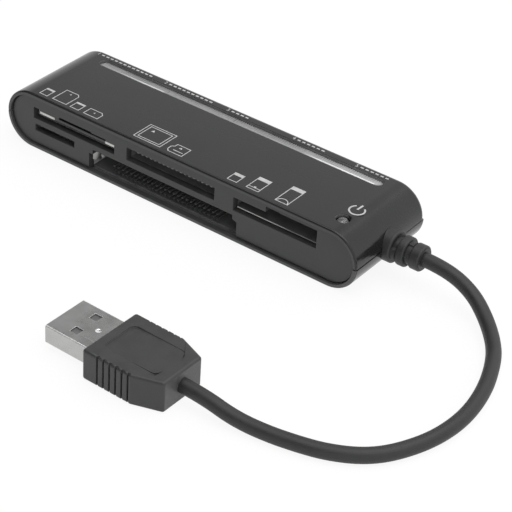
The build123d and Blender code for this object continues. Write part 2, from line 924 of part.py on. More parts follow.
# Webs across the gaps before the rings: at the sides of the first, above and below the second
ring_webs = ((collar_diameter, web_widths[0]), (web_widths[1], collar_diameter))
with BuildPart() as strain_relief:
    add(boot_flange.part)
    add(boot_collar.part)
    with BuildSketch(Plane.YZ.offset(body_right - wall - boot_inner_room)):
        with Locations((0, middle_z)):
            Circle(boot_neck / 2)
    extrude(amount=boot_end_x - body_right + wall + boot_inner_room)
    for start_x, width, diameter, web in zip(ring_starts, ring_widths, ring_diameters, ring_webs):
        with BuildSketch(Plane.YZ.offset(start_x - ring_gap)):
            with Locations((0, middle_z)):
                Circle(diameter / 2 - web_inset)
                Rectangle(*web, mode=Mode.INTERSECT)
        extrude(amount=ring_gap)
        with BuildPart(mode=Mode.PRIVATE) as ring:
            with BuildSketch(Plane.YZ.offset(start_x)):
                with Locations((0, middle_z)):
                    Circle(diameter / 2)
            extrude(amount=width)
            fillet(ring.edges().filter_by(GeomType.CIRCLE), ring_radius)
        add(ring.part)

# Wires from the cable to the board, side by side on its upper face
wire_end_x = board_right - wire_on_board
with BuildPart() as cable_leads:
    with BuildSketch(Plane.YZ.offset(wire_end_x)):
        with Locations(*[(y, board_top_z + wire_diameter / 2) for y in spread(0, wire_pitch, wire_count)]):
            Circle(wire_diameter / 2)
    extrude(amount=body_right - wall - boot_inner_room - wire_end_x)

# Frame of the plug: X from its tip to the cable, Z up
plug_z = grip_height / 2
plug_direction = (cos(radians(plug_turn)), sin(radians(plug_turn)), 0)
plug_plane = Plane(origin=(plug_tip_x, plug_tip_y, plug_z), x_dir=plug_direction, z_dir=(0, 0, 1))


def across_plug(distance):
    """A plane square to the plug, at a distance behind its tip, with coordinates (side, height)."""
    return Plane(
        origin=plug_plane.from_local_coords(Vector(distance, 0, 0)),
        x_dir=plug_plane.y_dir,
        z_dir=plug_plane.x_dir,
    )


# Steel shell of the plug
plug_shell_length = plug_exposed + plug_hold
inner_width = plug_width - 2 * plug_steel
inner_height = plug_height - 2 * plug_steel
dimple_ball = (dimple_diameter ** 2 / 4 + dimple_depth ** 2) / (2 * dimple_depth)
with BuildPart() as plug_shell:
    with BuildSketch(across_plug(0)):
        RectangleRounded(plug_width, plug_height, plug_corner)
        RectangleRounded(inner_width, inner_height, plug_corner - plug_steel, mode=Mode.SUBTRACT)
    extrude(amount=plug_shell_length)
    with BuildSketch(plug_plane.offset(plug_height / 2)):
        with Locations((window_from_tip, -window_spread / 2), (window_from_tip, window_spread / 2)):
            Rectangle(window_size, window_size)
    extrude(amount=-plug_height, mode=Mode.SUBTRACT)
    dimple_middle = Pos(dimple_from_tip, 0, plug_height / 2 - dimple_depth + dimple_ball)
    with Locations(plug_plane.location * dimple_middle):
        Sphere(dimple_ball, mode=Mode.SUBTRACT)

# Insulator of the plug: a rear block and a tongue along the upper half of the shell, behind the windows
insert_width = inner_width - 2 * insert_gap
insert_height = inner_height - 2 * insert_gap
with BuildPart() as plug_tongue:
    with BuildSketch(across_plug(insert_block)):
        RectangleRounded(insert_width, insert_height, insert_corner)
    extrude(amount=plug_shell_length - insert_block)
    with BuildSketch(across_plug(insert_setback)):
        with Locations((0, insert_height / 2)):
            RectangleRounded(
                insert_width, insert_thickness, insert_corner, align=(Align.CENTER, Align.MAX)
            )
    extrude(amount=insert_block - insert_setback)

# Contacts on the under face of the tongue
with BuildPart() as plug_contacts:
    with BuildSketch(plug_plane.offset(insert_height / 2 - insert_thickness)):
        with Locations(*[(insert_block, place) for place in plug_contact_places]):
            Rectangle(
                insert_block - plug_contact_setback, plug_contact_width, align=(Align.MAX, Align.CENTER)
            )
    extrude(amount=-plug_contact_thickness)

# Moulded grip of the plug
grip_end = plug_exposed + grip_length
grip_outline = [
    (plug_exposed, grip_width / 2),
    (grip_end - grip_taper, grip_width / 2),
    (grip_end, grip_rear_width / 2),
    (grip_end, -grip_rear_width / 2),
    (grip_end - grip_taper, -grip_width / 2),
    (plug_exposed, -grip_width / 2),
]
groove_places = [plug_exposed + groove_first + groove_pitch * i for i in range(groove_count)]
recess_slope = degrees(atan2(recess_depth, recess_length))
recess_start = Pos(plug_exposed + recess_from_front, 0, plug_z - recess_depth)
recess_floor = plug_plane.location * recess_start * Rot(0, -recess_slope, 0)
with BuildPart() as plug_overmould:
    with BuildSketch(plug_plane.offset(-plug_z)):
        with BuildLine():
            Polyline(*grip_outline, close=True)
        make_face()
    extrude(amount=grip_height)
    fillet(plug_overmould.edges(), grip_radius)
    with BuildSketch(plug_plane.offset(-plug_z)):
        for side in (-grip_width / 2, grip_width / 2):
            with Locations(*[(place, side) for place in groove_places]):
                Rectangle(groove_width, 2 * groove_cut)
    extrude(amount=grip_height, mode=Mode.SUBTRACT)
    # Shallow panel on the upper face, deepest at the front
    with BuildSketch(Plane(recess_floor)):
        RectangleRounded(recess_length, recess_width, recess_radius, align=(Align.MIN, Align.CENTER))
    extrude(amount=2 * recess_depth, mode=Mode.SUBTRACT)
    # Seat of the steel shell
    with BuildSketch(across_plug(plug_exposed)):
        RectangleRounded(plug_width + 2 * plug_fit, plug_height + 2 * plug_fit, plug_corner + plug_fit)
    extrude(amount=plug_hold + plug_fit, mode=Mode.SUBTRACT)

# Cable: out of the strain relief, down to the table, round in one loose loop to the plug
cable_z = cable_diameter / 2 + cable_lift
cable_points = [
    (boot_end_x, 0, middle_z),
    (boot_end_x + cable_lead_out, 0, middle_z),
    (72.4, -0.8, 5.2),
    (78.1, -3.9, 2.8),
    (83.7, -9.7, 1.9),
    (86.95, -15.4, cable_z),
    (90.15, -24.1, cable_z),
    (91.65, -34.0, cable_z),
    (90.5, -43.6, cable_z),
    (86.9, -52.0, cable_z),
    (82.7, -57.1, cable_z),
    (76.8, -60.6, cable_z),
    (71.1, -62.4, cable_z),
    (64.0, -63.9, cable_z),
    (56.8, -64.8, 2.2),
    plug_plane.from_local_coords(Vector(grip_end + cable_lead_in, 0, 0)),
    plug_plane.from_local_coords(Vector(grip_end, 0, 0)),
]


def bend_radii(points):
    """The radius of each corner of a route: as large as its two runs allow."""
    corners = [Vector(point) for point in points]
    radii = []
    for before, corner, after in zip(corners, corners[1:], corners[2:]):
        turn = (corner - before).get_angle(after - corner)
        shorter = min((corner - before).length, (after - corner).length)
        radii.append(bend_share * shorter / tan(radians(turn / 2)))
    return radii


cable_radii = bend_radii(cable_points)
with BuildPart() as cable:
    with BuildLine() as cable_route:
        FilletPolyline(*cable_points, radius=cable_radii)
    with BuildSketch(Plane.YZ.offset(boot_end_x)):
        with Locations((0, middle_z)):
            Circle(cable_diameter / 2)
    sweep(path=cable_route.line)
print("cable radii", [round(radius, 1) for radius in cable_radii])
print("cable length", round(cable_route.wires()[0].length, 1))

pieces = {
    "top_cover": top_cover,
    "bottom_cover": bottom_cover,
    "front_panel": front_panel,
    "light_bar": light_bar,
    "power_led": power_led,
    "led_leads": led_leads,
    "circuit_board": circuit_board,
    "standard_socket_base": standard_socket_base,
    "standard_socket_contacts": standard_socket_contacts,
    "standard_socket_shell": standard_socket_shell,
    "standard_socket_nose": standard_socket_nose,
    "micro_socket_base": micro_socket_base,
    "micro_socket_contacts": micro_socket_contacts,
    "micro_socket_shell": micro_socket_shell,
    "thin_socket_body": thin_socket_body,
    "thin_socket_contacts": thin_socket_contacts,
    "stick_socket_body": stick_socket_body,
    "stick_socket_plate": stick_socket_plate,
    "stick_socket_contacts": stick_socket_contacts,
    "wide_header": wide_header,
    "wide_header_pins": wide_header_pins,
    "guide_spring": guide_spring,
    "controller_chip": controller_chip,
    "controller_leads": controller_leads,
    "crystal": crystal,
    "capacitors": capacitors,
    "resistors": resistors,
    "bar_leds": bar_leds,
    "strain_relief": strain_relief,
    "cable_leads": cable_leads,
    "cable": cable,
    "plug_shell": plug_shell,
    "plug_tongue": plug_tongue,
    "plug_contacts": plug_contacts,
    "plug_overmould": plug_overmould,
}
os.makedirs("parts", exist_ok=True)
for node, piece in pieces.items():
    piece.part.label = node
    export_step(piece.part, f"parts/{node}.step")
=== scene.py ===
import math

import bmesh
import bpy
from mathutils import Matrix, Vector


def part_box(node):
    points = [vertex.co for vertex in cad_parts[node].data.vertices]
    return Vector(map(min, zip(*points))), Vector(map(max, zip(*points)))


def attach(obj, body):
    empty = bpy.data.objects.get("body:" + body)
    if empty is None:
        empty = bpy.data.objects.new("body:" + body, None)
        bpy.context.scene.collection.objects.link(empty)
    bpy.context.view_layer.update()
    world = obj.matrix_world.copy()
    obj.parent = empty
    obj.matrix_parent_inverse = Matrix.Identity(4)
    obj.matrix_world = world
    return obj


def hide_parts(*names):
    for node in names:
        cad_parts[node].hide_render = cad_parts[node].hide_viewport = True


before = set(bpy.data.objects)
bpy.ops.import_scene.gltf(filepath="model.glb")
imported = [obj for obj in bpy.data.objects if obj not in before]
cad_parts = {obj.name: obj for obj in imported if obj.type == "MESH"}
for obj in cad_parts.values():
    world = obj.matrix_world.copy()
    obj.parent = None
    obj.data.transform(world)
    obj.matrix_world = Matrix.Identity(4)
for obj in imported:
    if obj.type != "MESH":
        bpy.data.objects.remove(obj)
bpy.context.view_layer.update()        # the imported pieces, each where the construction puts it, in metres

# Camera: a long lens that stands in front of the reader and to its right.
# It looks down on the table, rolled a little to one side.
view_azimuth = math.radians(34.566)
view_elevation = math.radians(34.880)
view_roll = math.radians(3.898)
view_target = Vector((0.024934, -0.014589, 0.0))
view_distance = 0.43110
camera_data = bpy.data.cameras.new("camera")
camera_data.sensor_width = 36.0
camera_data.lens = 135.82
camera_data.clip_start = 0.01
camera = bpy.data.objects.new("camera", camera_data)
bpy.context.scene.collection.objects.link(camera)
camera.matrix_world = (
    Matrix.Translation(view_target)
    @ Matrix.Rotation(view_azimuth, 4, "Z")
    @ Matrix.Rotation(math.radians(90) - view_elevation, 4, "X")
    @ Matrix.Rotation(view_roll, 4, "Z")
    @ Matrix.Translation((0, 0, view_distance))
)
bpy.context.scene.camera = camera
bpy.context.scene.view_settings.view_transform = "Standard"

# Studio: a white table in front of a white backdrop that goes higher behind the reader than at
# its front. The room over it is dim, with one large softbox straight above.
table_side = 6.0
table_drop = 0.00002
table_white = (0.97, 0.97, 0.97, 1.0)
table_glow_share = 0.90
backdrop_level = 1.0
room_level = 0.10
backdrop_tilt = (-0.50, -0.30, 1.0)
backdrop_height = 0.48
room_height = 0.80
softbox_place = Vector((0.10, 0.05, 1.5))
softbox_side = 1.8
softbox_power = 22.0


def add_node(tree, kind, inputs=(), **settings):
    """A shader node with its settings made and its free inputs set or linked, by socket name or number."""
    node = tree.nodes.new(kind)
    for name, value in settings.items():
        setattr(node, name, value)
    for socket, value in dict(inputs).items():
        if isinstance(value, bpy.types.NodeSocket):
            tree.links.new(value, node.inputs[socket])
        else:
            node.inputs[socket].default_value = value
    return node


sky = bpy.data.worlds.new("studio_sky")
sky.use_nodes = True
bpy.context.scene.world = sky
sky_tree = sky.node_tree
sky_direction = add_node(sky_tree, "ShaderNodeTexCoord").outputs["Generated"]
sky_height = add_node(sky_tree, "ShaderNodeVectorMath", {
    0: sky_direction, 1: backdrop_tilt,
}, operation="DOT_PRODUCT").outputs["Value"]
sky_level = add_node(sky_tree, "ShaderNodeMapRange", {
    "Value": sky_height, "From Min": backdrop_height, "From Max": room_height,
    "To Min": backdrop_level, "To Max": room_level,
}, interpolation_type="SMOOTHSTEP").outputs["Result"]
sky_tree.links.new(sky_level, sky_tree.nodes["Background"].inputs["Strength"])
sky_tree.nodes["Background"].inputs["Color"].default_value = (1.0, 1.0, 1.0, 1.0)

softbox_data = bpy.data.lights.new("softbox", "AREA")
softbox_data.shape = "SQUARE"
softbox_data.size = softbox_side
softbox_data.energy = softbox_power
softbox = bpy.data.objects.new("softbox", softbox_data)
bpy.context.scene.collection.objects.link(softbox)
softbox.location = softbox_place
softbox.rotation_euler = (view_target - softbox_place).to_track_quat("-Z", "Y").to_euler()

table_paper = bpy.data.materials.new("table_paper")
table_paper.use_nodes = True
paper_tree = table_paper.node_tree
paper_tree.nodes.remove(paper_tree.nodes["Principled BSDF"])
light_path = add_node(paper_tree, "ShaderNodeLightPath")
seen_or_mirrored = add_node(paper_tree, "ShaderNodeMath", {
    0: light_path.outputs["Is Camera Ray"], 1: light_path.outputs["Is Glossy Ray"],
}, operation="MAXIMUM").outputs[0]
seen_at_all = add_node(paper_tree, "ShaderNodeMath", {
    0: seen_or_mirrored, 1: light_path.outputs["Is Transmission Ray"],
}, operation="MAXIMUM").outputs[0]
glow_share = add_node(paper_tree, "ShaderNodeMath", {
    0: seen_at_all, 1: table_glow_share,
}, operation="MULTIPLY").outputs[0]
paper_diffuse = add_node(paper_tree, "ShaderNodeBsdfDiffuse", {"Color": table_white})
paper_glow = add_node(paper_tree, "ShaderNodeEmission", {"Strength": 1.0})
paper_mix = add_node(paper_tree, "ShaderNodeMixShader", {
    0: glow_share, 1: paper_diffuse.outputs[0], 2: paper_glow.outputs[0],
})
paper_tree.links.new(paper_mix.outputs[0], paper_tree.nodes["Material Output"].inputs["Surface"])
table_bm = bmesh.new()
bmesh.ops.create_grid(
    table_bm, x_segments=1, y_segments=1, size=table_side / 2, matrix=Matrix.Translation((0, 0, -table_drop))
)
table_mesh = bpy.data.meshes.new("table")
table_bm.to_mesh(table_mesh)
table_bm.free()
table_mesh.materials.append(table_paper)
table = bpy.data.objects.new("table", table_mesh)
bpy.context.scene.collection.objects.link(table)

# Bottom cover: the lower half of the casing, moulded in black plastic with a polished outer face.
# It carries the circuit board on posts and clips to the top cover along a tongue and groove.
mm = 0.001
weld_distance = 0.0005 * mm
flat_angle = math.radians(0.3)
sharp_angle = math.radians(28)
crease_angle = math.radians(50)
cover_edge = 0.07 * mm
cover_black = (0.012, 0.012, 0.0124, 1.0)
cover_worn = (0.016, 0.016, 0.0165, 1.0)
cover_peel = 1.6 * mm
cover_patch = 14 * mm
grain_spread = (0.3, 0.7)
scratch_turns = (0.42, 1.9)
scratch_tilt = (0.3, 0.2)
scratch_stretch = (0.12, 9.0, 4.0)
scratch_spread = (0.66, 0.74)


def make_group(name, inputs, outputs):
    """An empty shader node group with named float inputs and outputs, and its two end nodes."""
    tree = bpy.data.node_groups.new(name, "ShaderNodeTree")
    for socket, value in inputs.items():
        added = tree.interface.new_socket(socket, in_out="INPUT", socket_type="NodeSocketFloat")
        added.default_value = value
    for socket in outputs:
        tree.interface.new_socket(socket, in_out="OUTPUT", socket_type="NodeSocketFloat")
    return tree, tree.nodes.new("NodeGroupInput"), tree.nodes.new("NodeGroupOutput")


def per_metre(tree, size):
    """How often a pattern of one size comes again in a metre."""
    return add_node(tree, "ShaderNodeMath", {0: 1.0, 1: size}, operation="DIVIDE").outputs[0]


def spread_out(tree, value, limits):
    """A value drawn out so that it goes from none to full between two limits."""
    return add_node(tree, "ShaderNodeMapRange", {
        "Value": value, "From Min": limits[0], "From Max": limits[1],
    }).outputs["Result"]


def make_grain_group():
    """Moulding grain: fine bumps of one size, and a slow drift of tone over larger patches."""
    sizes = {"Grain": 0.2 * mm, "Patch": 10 * mm}
    tree, given, result = make_group("moulding_grain", sizes, ("Height", "Tone"))
    place = add_node(tree, "ShaderNodeTexCoord").outputs["Object"]
    for size, output, detail in (("Grain", "Height", 3.0), ("Patch", "Tone", 4.0)):
        scale = per_metre(tree, given.outputs[size])
        noise = add_node(tree, "ShaderNodeTexNoise", {"Vector": place, "Scale": scale, "Detail": detail})
        tree.links.new(spread_out(tree, noise.outputs["Fac"], grain_spread), result.inputs[output])
    return tree


def make_rub_group():
    """Rub marks: hair-thin scratches that lie two ways."""
    tree, given, result = make_group("rub_marks", {"Spacing": 3 * mm}, ("Scratches",))
    place = add_node(tree, "ShaderNodeTexCoord").outputs["Object"]
    scale = per_metre(tree, given.outputs["Spacing"])
    masks = []
    for turn in scratch_turns:
        laid = add_node(tree, "ShaderNodeMapping", {
            "Vector": place, "Rotation": (*scratch_tilt, turn), "Scale": scratch_stretch,
        }).outputs["Vector"]
        noise = add_node(tree, "ShaderNodeTexNoise", {"Vector": laid, "Scale": scale, "Detail": 2.0})
        masks.append(spread_out(tree, noise.outputs["Fac"], scratch_spread))
    both = add_node(tree, "ShaderNodeMath", {0: masks[0], 1: masks[1]}, operation="MAXIMUM").outputs[0]
    tree.links.new(both, result.inputs["Scratches"])
    return tree


moulding_grain = make_grain_group()
rub_marks = make_rub_group()


def mix_colours(tree, factor, first, second):
    """A colour between two others, by a mask."""
    return add_node(tree, "ShaderNodeMix", {0: factor, 6: first, 7: second}, data_type="RGBA").outputs[2]


def make_finish(name, dark, light, gloss, grain, patch, depth, rubbed=0.0, fixed=()):
    """A surface whose colour and roughness drift over patches, with a fine grain and light rub marks on it.

    gloss is the lowest and highest roughness, depth the height of the grain in metres, rubbed how much
    rougher the scratches are, and fixed the shader's constant sockets.
    """
    made = bpy.data.materials.new(name)
    made.use_nodes = True
    tree = made.node_tree
    shader = tree.nodes["Principled BSDF"]
    for socket, value in dict(fixed).items():
        shader.inputs[socket].default_value = value
    surface = add_node(tree, "ShaderNodeGroup", node_tree=moulding_grain)
    surface.inputs["Grain"].default_value = grain
    surface.inputs["Patch"].default_value = patch
    marks = add_node(tree, "ShaderNodeGroup", node_tree=rub_marks)
    colour = mix_colours(tree, surface.outputs["Tone"], dark, light)
    tree.links.new(colour, shader.inputs["Base Color"])
    drift = add_node(tree, "ShaderNodeMapRange", {
        "Value": surface.outputs["Tone"], "To Min": gloss[0], "To Max": gloss[1],
    }).outputs["Result"]
    rough = add_node(tree, "ShaderNodeMath", {
        0: marks.outputs["Scratches"], 1: rubbed, 2: drift,
    }, operation="MULTIPLY_ADD").outputs[0]
    tree.links.new(rough, shader.inputs["Roughness"])
    bump = add_node(tree, "ShaderNodeBump", {"Height": surface.outputs["Height"], "Distance": depth})
    tree.links.new(bump.outputs["Normal"], shader.inputs["Normal"])
    return made


def skin_of(node, seams=()):
    """The faces of a CAD node welded into one skin, with each flat stretch as a whole face.

    seams are places from front to back where the long curved faces stay parted, so that a hole in
    them changes the shading of its own stretch alone.
    """
    bm = bmesh.new()
    bm.from_mesh(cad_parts[node].data)
    bmesh.ops.remove_doubles(bm, verts=bm.verts, dist=weld_distance)
    for seam in seams:
        everything = bm.verts[:] + bm.edges[:] + bm.faces[:]
        cut = bmesh.ops.bisect_plane(bm, geom=everything, plane_co=(0, seam, 0), plane_no=(0, 1, 0))
        for element in cut["geom_cut"]:
            if isinstance(element, bmesh.types.BMEdge):
                element.seam = True
    bmesh.ops.dissolve_limit(bm, angle_limit=flat_angle, verts=bm.verts, edges=bm.edges, delimit={"SEAM"})
    return bm


def round_edges(bm, radius):
    """Takes the sharpness off every hard edge of a skin."""
    hard = [edge for edge in bm.edges if edge.is_manifold and edge.calc_face_angle() > sharp_angle]
    bmesh.ops.bevel(
        bm, geom=hard, offset=radius, offset_type="OFFSET", segments=2, profile=0.5,
        affect="EDGES", material=-1, clamp_overlap=False,
    )


def add_piece(name, bm, material, replaced=()):
    """A finished mesh as a piece of the reader, shaded smooth with its flat faces kept flat."""
    for face in bm.faces:
        face.smooth = True
    for edge in bm.edges:
        edge.smooth = not edge.is_manifold or edge.calc_face_angle() < crease_angle
    mesh = bpy.data.meshes.new(name)
    bm.to_mesh(mesh)
    bm.free()
    mesh.materials.clear()
    mesh.materials.append(material)
    made = bpy.data.objects.new(name, mesh)
    bpy.context.scene.collection.objects.link(made)
    weighted = made.modifiers.new("flat_faces_stay_flat", "WEIGHTED_NORMAL")
    weighted.keep_sharp = True
    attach(made, "root")
    if replaced:
        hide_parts(*replaced)
    return made


def dress(node, material, edge=0.0, seams=()):
    """A visible CAD piece as a welded skin with softened edges and a real finish."""
    bm = skin_of(node, seams)
    if edge:
        round_edges(bm, edge)
    return add_piece(node + "_skin", bm, material, (node,))


def paint(material, *nodes):
    """Gives CAD pieces, which stay as they are, a real finish."""
    for node in nodes:
        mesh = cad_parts[node].data
        mesh.materials.clear()
        mesh.materials.append(material)


cover_gloss = make_finish(
    "cover_gloss", dark=cover_black, light=cover_worn, gloss=(0.16, 0.24),
    grain=cover_peel, patch=cover_patch, depth=0.0004 * mm, rubbed=0.12, fixed={"IOR": 1.46},
)
# The inside of the covers is painted far lighter than their black outside: painted light in the slots.
inside_painted_light = make_finish(
    "inside_painted_light", dark=(0.13, 0.13, 0.132, 1), light=(0.18, 0.18, 0.183, 1), gloss=(0.55, 0.7),
    grain=0.12 * mm, patch=4 * mm, depth=0.006 * mm,
)
# The bottom cover's lip is painted lighter than the top cover's: painted light on the lower lip.
bottom_lip_painted_lighter = make_finish(
    "bottom_lip_painted_lighter", dark=(0.060, 0.060, 0.0612, 1), light=(0.072, 0.072, 0.0734, 1), gloss=(0.34, 0.46),
    grain=0.11 * mm, patch=6 * mm, depth=0.003 * mm,
)
cover_low, cover_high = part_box("bottom_cover")
end_radius = 7.4 * mm
casing_wall = 1.0 * mm
lip_radius = 0.5 * mm
# The bottom cover's lighter painted lip reaches over most of the lip's rounding, as painted light on it.
bottom_lip_flat = 0.15


def refinish(piece, material, chosen):
    """Gives the faces of a piece that a test picks a finish of their own."""
    piece.data.materials.append(material)
    for face in piece.data.polygons:
        if chosen(face):
            face.material_index = len(piece.data.materials) - 1


def from_core(face):
    """How far a face of the casing lies from the middle line of its rounded ends and flat middle."""
    past_end = max(abs(face.center.x) - cover_high.x + end_radius, 0.0)
    return math.hypot(past_end, face.center.z - end_radius)


def is_inside(face):
    """Whether a face of a cover lies behind the front panel and under the skin of the casing."""
    behind_panel = cover_low.y + 2 * casing_wall < face.center.y < cover_high.y - casing_wall / 2
    return behind_panel and from_core(face) < end_radius - casing_wall / 2


def is_lip(face, flat_share):
    """Whether a face of a cover is in the lip round the front panel, with a share of its rounding."""
    in_front = face.center.y < cover_low.y + casing_wall
    return in_front and from_core(face) < end_radius - flat_share * lip_radius


def dress_cover(node, lip, flat_share, seams=()):
    """A half of the casing: polished outside, with a satin lip and a matte inside whose colours are painted
    light and shade.
    """
    cover = dress(node, cover_gloss, cover_edge, seams)
    refinish(cover, inside_painted_light, is_inside)
    refinish(cover, lip, lambda face: is_lip(face, flat_share))


dress_cover("bottom_cover", bottom_lip_painted_lighter, bottom_lip_flat)

# Circuit board and its parts: a green glass-fibre board with the controller chip, crystal and
# small parts soldered to it, four lamps under the light bar and the wires of the cable.
board_mask = make_finish(
    "board_mask", dark=(0.008, 0.030, 0.014, 1), light=(0.016, 0.055, 0.026, 1), gloss=(0.28, 0.42),
    grain=0.35 * mm, patch=2.2 * mm, depth=0.004 * mm,
)
chip_epoxy = make_finish(
    "chip_epoxy", dark=(0.012, 0.012, 0.013, 1), light=(0.026, 0.026, 0.028, 1), gloss=(0.45, 0.65),
    grain=0.08 * mm, patch=1.5 * mm, depth=0.004 * mm,
)
part_ceramic = make_finish(
    "part_ceramic", dark=(0.20, 0.14, 0.09, 1), light=(0.38, 0.30, 0.21, 1), gloss=(0.35, 0.6),
    grain=0.05 * mm, patch=0.5 * mm, depth=0.003 * mm,
)
tinned_metal = make_finish(
    "tinned_metal", dark=(0.55, 0.55, 0.53, 1), light=(0.75, 0.75, 0.73, 1), gloss=(0.22, 0.42),
    grain=0.12 * mm, patch=0.7 * mm, depth=0.003 * mm, fixed={"Metallic": 1.0},
)
lamp_resin = make_finish(
    "lamp_resin", dark=(0.70, 0.68, 0.50, 1), light=(0.85, 0.84, 0.70, 1), gloss=(0.12, 0.3),
    grain=0.2 * mm, patch=0.8 * mm, depth=0.002 * mm,
    fixed={"Subsurface Weight": 0.3, "Subsurface Scale": 0.5 * mm},
)
wire_plastic = make_finish(
    "wire_plastic", dark=(0.25, 0.02, 0.02, 1), light=(0.40, 0.04, 0.03, 1), gloss=(0.35, 0.5),
    grain=0.1 * mm, patch=3 * mm, depth=0.003 * mm,
)
paint(board_mask, "circuit_board")
paint(chip_epoxy, "controller_chip")
paint(part_ceramic, "capacitors", "resistors")
paint(tinned_metal, "controller_leads", "led_leads", "crystal")
paint(lamp_resin, "bar_leds")
paint(wire_plastic, "cable_leads")

# Card sockets: heat-proof mouldings with sprung contacts, soldered to the board. Two have folded steel
# shells, and one has a steel plate in its floor. The wide slot has two rows of dull pins instead,
# and a steel leaf spring on its left wall that centres the card. The mouldings, the plate and the
# thin socket's contacts are painted lighter than their own colours, as painted light in the slots;
# the other contacts and the pins are painted darker, as painted shade, and the spring and the
# plate's front edge carry painted highlights.
front_facing = -0.5
# Share of the spring's depth, from its front, before its painted highlight starts.
spring_highlight_start_share = 0.35
# Shares of the plate's length over which the painted glint on its front edge stays full and fades.
plate_glint_full_share = 0.52
plate_glint_fade_share = 0.66
# The socket mouldings are painted light and mid grey instead of their own dark colour: painted light in the
# slots.
socket_plastic = make_finish(
    "socket_plastic", dark=(0.38, 0.38, 0.386, 1), light=(0.48, 0.48, 0.487, 1), gloss=(0.42, 0.62),
    grain=0.15 * mm, patch=2 * mm, depth=0.006 * mm,
)
socket_dark_painted_light = make_finish(
    "socket_dark_painted_light", dark=(0.16, 0.16, 0.162, 1), light=(0.22, 0.22, 0.223, 1), gloss=(0.42, 0.62),
    grain=0.15 * mm, patch=2 * mm, depth=0.006 * mm,
)
sheet_steel = make_finish(
    "sheet_steel", dark=(0.42, 0.42, 0.41, 1), light=(0.56, 0.56, 0.54, 1), gloss=(0.28, 0.42),
    grain=0.3 * mm, patch=3 * mm, depth=0.002 * mm, rubbed=0.15,
    fixed={"Metallic": 1.0, "Anisotropic": 0.4},
)
dull_steel = make_finish(
    "dull_steel", dark=(0.26, 0.26, 0.25, 1), light=(0.36, 0.36, 0.35, 1), gloss=(0.26, 0.38),
    grain=0.3 * mm, patch=2 * mm, depth=0.002 * mm, rubbed=0.15, fixed={"Metallic": 1.0},
)
# The socket and plug contacts are painted far darker than bare nickel: painted shade.
contact_nickel_painted_shade = make_finish(
    "contact_nickel_painted_shade", dark=(0.08, 0.078, 0.075, 1), light=(0.13, 0.127, 0.122, 1), gloss=(0.40, 0.55),
    grain=0.15 * mm, patch=1 * mm, depth=0.002 * mm, rubbed=0.1, fixed={"Metallic": 1.0},
)
# The header pins are painted dark grey: painted shade in the wide slot.
pin_painted_shade = make_finish(
    "pin_painted_shade", dark=(0.080, 0.080, 0.0785, 1), light=(0.11, 0.11, 0.108, 1), gloss=(0.45, 0.6),
    grain=0.15 * mm, patch=1 * mm, depth=0.002 * mm,
)
pin_tip_painted_shade = make_finish(
    "pin_tip_painted_shade", dark=(0.016, 0.016, 0.0163, 1), light=(0.024, 0.024, 0.0244, 1), gloss=(0.5, 0.65),
    grain=0.15 * mm, patch=1 * mm, depth=0.002 * mm,
)
paint(socket_plastic, "standard_socket_base", "micro_socket_base", "wide_header")
paint(socket_dark_painted_light, "thin_socket_body", "stick_socket_body")
paint(sheet_steel, "standard_socket_shell", "micro_socket_shell")
spring_low, spring_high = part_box("guide_spring")
spring_highlight_from_y = spring_low.y + spring_highlight_start_share * (spring_high.y - spring_low.y)
# The spring's faces behind that line are painted near-white: a painted highlight.
spring_painted_highlight = make_finish(
    "spring_painted_highlight", dark=(0.82, 0.82, 0.80, 1), light=(0.90, 0.90, 0.88, 1), gloss=(0.3, 0.42),
    grain=0.3 * mm, patch=2 * mm, depth=0.002 * mm, rubbed=0.1, fixed={"Metallic": 0.2},
)
spring = dress("guide_spring", dull_steel)
refinish(spring, spring_painted_highlight, lambda face: face.center.y > spring_highlight_from_y)
paint(contact_nickel_painted_shade, "standard_socket_contacts", "micro_socket_contacts", "stick_socket_contacts")
# The thin socket's contacts are painted as a lighter non-metallic grey: painted light on them.
leaf_painted_light = make_finish(
    "leaf_painted_light", dark=(0.17, 0.17, 0.167, 1), light=(0.23, 0.23, 0.225, 1), gloss=(0.45, 0.6),
    grain=0.15 * mm, patch=1 * mm, depth=0.002 * mm,
)
paint(leaf_painted_light, "thin_socket_contacts")
pins = dress("wide_header_pins", pin_painted_shade)
# The pins' front-facing tips are painted darker still: painted shade.
refinish(pins, pin_tip_painted_shade, lambda face: face.normal.y < front_facing)


def shade_along(material, stops):
    """Paints light and shade into a finish along the reader, by stops of place and tone."""
    tree = material.node_tree
    shader = tree.nodes["Principled BSDF"]
    plain = shader.inputs["Base Color"].links[0].from_socket
    place = add_node(tree, "ShaderNodeTexCoord").outputs["Object"]
    along = add_node(tree, "ShaderNodeSeparateXYZ", {"Vector": place}).outputs["X"]
    first, last = stops[0][0], stops[-1][0]
    share = add_node(tree, "ShaderNodeMapRange", {"Value": along, "From Min": first, "From Max": last})
    ramp = add_node(tree, "ShaderNodeValToRGB", {"Fac": share.outputs["Result"]})
    while len(ramp.color_ramp.elements) < len(stops):
        ramp.color_ramp.elements.new(1.0)
    for element, (at, tone) in zip(ramp.color_ramp.elements, stops):
        element.position = (at - first) / (last - first)
        element.color = (tone, tone, tone, 1.0)
    shaded = add_node(tree, "ShaderNodeMix", {
        0: 1.0, 6: plain, 7: ramp.outputs["Color"],
    }, data_type="RGBA", blend_type="MULTIPLY").outputs[2]
    tree.links.new(shaded, shader.inputs["Base Color"])


plate_low, plate_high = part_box("stick_socket_plate")
plate_length = plate_high.x - plate_low.x
# The steel plate is painted as a lighter non-metallic grey: painted light in the stick slot.
plate_painted_light = make_finish(
    "plate_painted_light", dark=(0.12, 0.12, 0.119, 1), light=(0.16, 0.16, 0.159, 1), gloss=(0.42, 0.55),
    grain=0.3 * mm, patch=2 * mm, depth=0.002 * mm, rubbed=0.1,
)
